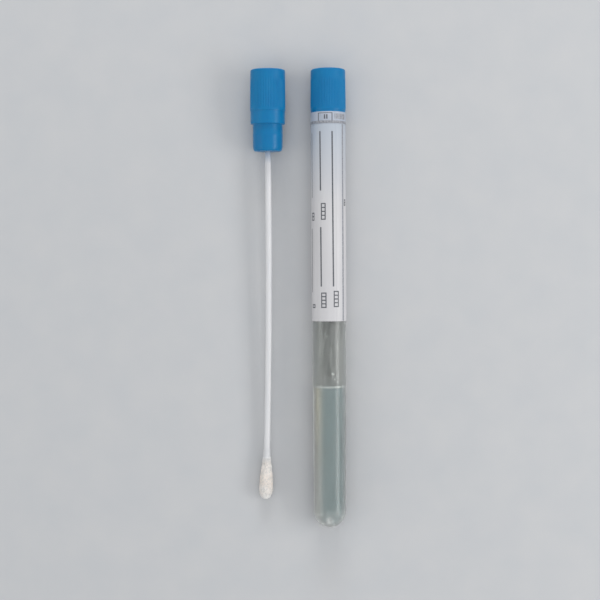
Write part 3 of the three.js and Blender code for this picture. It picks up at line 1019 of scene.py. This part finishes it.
def band_mark(turn_deg, height, columns=8):
    """A patch of ink on the band, between two angles and two heights."""
    angle = np.radians(np.linspace(*turn_deg, columns + 1))[None, :]
    heights = np.linspace(*height, 3)[:, None]
    outside = BAND_IN + BAND_FILM + 0.008
    return film(on_round(angle, heights, outside + INK), on_round(angle, heights, outside - 0.03))


PALE_BARS = [(20.0, 23.5), (26.0, 32.0), (34.0, 39.0), (41.0, 49.5), (52.0, 66.0)]
tear_and_marks = [band_mark((-180, 180), (BAND_FOOT + 0.06, BAND_FOOT + 1.02), 120)]
tear_and_marks += [band_mark(bar, (1.3, 3.3)) for bar in PALE_BARS]
new_piece("band_print", together(tear_and_marks), in_tube_cap, [pale_ink_and_painted_shadow], "closure")
BOX_SIDES = [(-36.0, -33.2), (10.2, 13.0)]
BARS_IN_BOX = [(-15.0, -10.5), (-7.5, -3.0)]
box_and_bars = [band_mark((-36.0, 13.0), (3.4, 3.62), 24)]
box_and_bars += [band_mark(side, (0.65, 3.4)) for side in BOX_SIDES]
box_and_bars += [band_mark(bar, (1.3, 2.9)) for bar in BARS_IN_BOX]
new_piece("band_box", together(box_and_bars), in_tube_cap, [ink], "closure")

# %% [markdown]
# ## The swab's shaft
#
# The shaft is extruded white plastic, a little thinner where it leaves the cap. It isn't quite
# straight: below the cap it bows gently to one side and its end drifts back to the other. A parabola
# for the bow and a square for the drift, both of the share of the way down, give that line.

# %% Shaft
SHAFT_RADIUS = 1.15
SHAFT_SIDES = 48
SHAFT_TOP = SOCKET_DEPTH - 0.3
NECK_RADIUS = 1.02
NECK_LENGTH = 6.0
NECK_FOOT = -PLUG_LENGTH - NECK_LENGTH
TIP_STAND_OFF = 9.3
TIP_SOLID = 3.1  # fibre past the shaft's end
SHAFT_BOW = 0.27
TIP_DRIFT = -0.8
SWAB_REACH = TUBE_LENGTH - TUBE_WALL - TIP_STAND_OFF


def bow(height):
    """Sideways place of the axis: none in the cap, then p (4b - d)(1 - p) + d p^2 for the share p."""
    part = np.maximum(0, -PLUG_LENGTH - height) / (SWAB_REACH - PLUG_LENGTH)
    return part * (4 * SHAFT_BOW - TIP_DRIFT) * (1 - part) + TIP_DRIFT * part**2


shaft_foot = TIP_SOLID - SWAB_REACH
neck_curve = [
    (SHAFT_RADIUS, NECK_FOOT),
    (SHAFT_RADIUS, -PLUG_LENGTH - NECK_LENGTH * 0.6),
    (NECK_RADIUS, -PLUG_LENGTH - NECK_LENGTH * 0.4),
    (NECK_RADIUS, -PLUG_LENGTH),
]
shaft_profile = outline(
    [(0, shaft_foot)],
    line((SHAFT_RADIUS, shaft_foot), (SHAFT_RADIUS, NECK_FOOT), 90),
    curve(neck_curve, 10),
    line((NECK_RADIUS, -PLUG_LENGTH), (NECK_RADIUS, SHAFT_TOP), 4),
    [(0, SHAFT_TOP)],
)
white = Finish(
    "white_plastic",
    Roughness=0.36,
    IOR=1.5,
    Subsurface_Weight=0.25,
    Subsurface_Radius=(1.0, 0.95, 0.9),
    Subsurface_Scale=0.001,
)
drawn = white.field(1.2, stretch=12, detail=3)
# Painted shade: for its last 4 mm below the cap the neck is painted a darker blue grey, for the cap's blue
# shade on it.
painted_shade_by_cap = white.distance(in_swab_half, ALONG).ramp(0, 1, -PLUG_LENGTH - 4.5, -PLUG_LENGTH - 0.2)
white.tones(painted_shade_by_cap, white.blend(drawn.ramp(0, 1), "d2d3d6", "dbdbdd"), "93a3b6")
white.feed("Roughness", drawn.ramp(0.3, 0.42))
white.relief(white.field(0.8, stretch=6, detail=3, start=(3, 3, 3)), 0.01)
shaft_shape = turned(shaft_profile, SHAFT_SIDES, shift=bow)
new_piece("swab_stem", shaft_shape, in_swab_half, [white], "set", ["swab_shaft"])

# %% [markdown]
# ## The bud
#
# The bud is fibre wound on the end of the shaft: a short glued start, as smooth as the shaft, then a
# long swelling cone and a short round nose. Its body is a turned shape with a shallow wound relief.
# Over it lie many single strands, each a thin three-sided tube along a stretch of a helix, which rises
# off the body in its middle and is tucked in at both ends. All the strands are one array.

# %% Bud body
TIP_LENGTH = 18.6
TIP_RADIUS = 2.55
TIP_NOSE = 3.9
TIP_BORE = SHAFT_RADIUS + 0.03
TIP_RIM = TIP_BORE + 0.11
BUD_SIDES = 160
BODY_UNDER = 0.06  # the body lies this far under the strands
GLUED = 2.9  # the smooth start at the top of the bud
WINDING_STARTS = [0, GLUED, GLUED + 0.25, 5.9, 6.15, 8]  # below the top of the bud
WINDING_DIPS = [0, 0.18, 0.03, 0.18, 0.03, 0]  # how much slimmer it is there than the plain cone
tip_end = -SWAB_REACH
tip_top = tip_end + TIP_LENGTH
tip_widest = tip_end + TIP_NOSE
glue_end = tip_top - GLUED
bore_end = tip_end + TIP_SOLID - 0.3
nose_curve = [
    (0, tip_end),
    (TIP_RADIUS * 0.68, tip_end),
    (TIP_RADIUS, tip_widest - TIP_NOSE * 0.6),
    (TIP_RADIUS, tip_widest),
]
cone_curve = [
    (TIP_RADIUS, tip_widest),
    (TIP_RADIUS, tip_widest + 3.5),
    (TIP_RIM + 0.5, tip_top - 6),
    (TIP_RIM, tip_top),
]
bud_outline = outline(curve(nose_curve, 40), curve(cone_curve, 90))


def bud_radius(height):
    """Radius of the bud at a height: its outline, less the dips where each layer of turns starts."""
    radius = np.interp(height, bud_outline[:, 1], bud_outline[:, 0])
    return radius - np.interp(tip_top - height, WINDING_STARTS, WINDING_DIPS)


def wound(turn, height):
    """Shallow ridges: nine waves that wind round and along at once, each with its own slant."""
    dice = np.random.default_rng(11)
    total = 0
    for _ in range(9):
        times, pace, phase = dice.integers(-3, 4), dice.uniform(6, 16), dice.uniform(0, 6.28)
        total = total + np.sin(times * turn + pace * height + phase)
    return 0.022 * total


def lumps(turn, height):
    """A slow unevenness of the winding: two waves that go round twice and once the other way."""
    return 0.035 * (np.sin(2 * turn + 1.3 * height) + np.sin(1 - turn + 2.1 * height))


body_outline = bud_outline.copy()
loose = 1 - ease(body_outline[:, 1], glue_end - 0.3, glue_end)
body_outline[:, 0] = np.maximum(bud_radius(body_outline[:, 1]) - BODY_UNDER * loose, 0)
body_outline[0] = (0, tip_end + BODY_UNDER)
body_outline = outline(
    body_outline[:1], body_outline[4:], [(TIP_BORE, tip_top), (TIP_BORE, bore_end), (0, bore_end)]
)


def loosely(height):
    """Where the winding is loose: 0 at the nose's pole and on the glued start, and 1 between them."""
    return ease(height, tip_end + 0.05, tip_end + 1.5) * (1 - ease(height, tip_top - 3.6, glue_end))


def bud_relief(turn, height):
    """The wound ridges and lumps, on the outside only and where the winding is loose."""
    outside = np.zeros(height.shape)
    outside[1 : len(body_outline) - 3] = 1
    return (wound(turn, height) + lumps(turn, height)) * outside * loosely(height)


def resting(points):
    """Points of the swab's half in the scene. What would pass through the floor is pressed flat on it."""
    placed = in_swab_half(points)
    placed[:, 2] = np.maximum(placed[:, 2], 0.015 * MM)
    return placed


# %% Paths of the strands
STRANDS = 1500
STRAND_STEPS = 12
EACH = (STRANDS, 1)  # one number for each strand
dice = np.random.default_rng(5)
share = np.linspace(0, 1, STRAND_STEPS + 1)[None, :]
middle_height = tip_end + (TIP_LENGTH - GLUED) * dice.beta(1.0, 1.15, EACH)
length_along = dice.normal(0, 1.3, EACH)
sweep = dice.uniform(1.0, 3.2, EACH)
first_turn = dice.uniform(0, 2 * np.pi, EACH)
ragged_end = glue_end + dice.uniform(-0.8, 0.3, EACH)
strand_height = np.clip(middle_height + length_along * (share - 0.5), tip_end + 0.12, ragged_end)
lift = dice.uniform(0.0, 0.1, EACH) * np.sin(np.pi * share) ** 0.7 - 0.035
wander = 0.12 * np.sin(2 * np.pi * (share * dice.uniform(0.5, 2, EACH)) + first_turn)
strand_turn = first_turn + sweep * (share - 0.5) + wander * 0.3
strand_radius = bud_radius(strand_height) + lift
strand_radius += lumps(strand_turn, strand_height) * loosely(strand_height)
centre_line = on_round(strand_turn, strand_height, strand_radius)
centre_line[..., 0] += bow(strand_height)

# %% Tubes round the paths


def unit(steps):
    """Steps shortened to a length of one."""
    return steps / np.linalg.norm(steps, axis=-1, keepdims=True)


def strand_tubes(paths, thickness):
    """Three-sided tubes along many paths at once. Each ring stands square to its path: two directions
    across it come from the path's own direction and the direction away from the bud's axis."""
    count, steps = paths.shape[:2]
    ahead = unit(np.gradient(paths, axis=1))
    side = unit(np.cross(ahead, unit(paths * (1, 0, 1))))
    up = np.cross(side, ahead)
    turn = round_angles(3)
    ring = np.cos(turn)[:, None] * side[..., None, :] + np.sin(turn)[:, None] * up[..., None, :]
    points = paths[..., None, :] + thickness[:, None, None, None] * ring
    index = np.arange(count * steps * 3).reshape(count, steps, 3)
    closed = np.concatenate([index, index[..., :1]], axis=-1)
    rings = closed[:, :-1, :-1], closed[:, 1:, :-1], closed[:, 1:, 1:], closed[:, :-1, 1:]
    walls = np.stack(rings, axis=-1).reshape(-1, 4)
    first, last = index[:, 0], index[:, -1]
    ends = np.vstack([first[:, [0, 0, 1, 2]], last[:, [0, 0, 2, 1]]])
    return points, np.vstack([walls, ends])


# %% Fibre, and the bud
BUD_MIDDLE = tip_end + 7.5  # the fibre is warmest here
fibre = Finish("wound_fibre", Roughness=0.9, Sheen_Weight=0.25, Specular_IOR_Level=0.2)
up_swab = fibre.distance(in_swab_half, ALONG)
tuft = fibre.field(0.5, stretch=1.5, detail=3).ramp(0, 1, 0.34, 0.6)
tint = fibre.field(3.5, detail=1, start=(1, 3, 1)).ramp(0, 1, 0.35, 0.65)
warm = abs(up_swab - BUD_MIDDLE).ramp(1, 0, 1.5, 4.5) * 0.6
wool = fibre.blend(warm, fibre.blend(tint, "fcfcfb", "fcf7f3"), "fef2e8")
shade = fibre.blend(tuft, "e6e4e1", wool)
fibre.tones(up_swab.ramp(0, 1, glue_end - 2.2, glue_end), shade, "e6e6e7")
fibre.feed("Roughness", fibre.field(0.4, detail=3).ramp(0.8, 0.98))
fibre.relief(fibre.field(0.12, stretch=0.35, detail=3, start=(8, 1, 1)), 0.03)

body_shape = turned(body_outline, BUD_SIDES, swell=bud_relief, shift=bow)
on_glue = (np.repeat(body_outline[:-1, 1], BUD_SIDES) > glue_end - 0.1).astype(int)
new_piece("bud_body", body_shape, resting, [fibre, white], "set", ["swab_tip"], parts=on_glue)
strand_shape = strand_tubes(centre_line, dice.uniform(0.016, 0.03, STRANDS))
new_piece("bud_strands", strand_shape, resting, [fibre], "set")
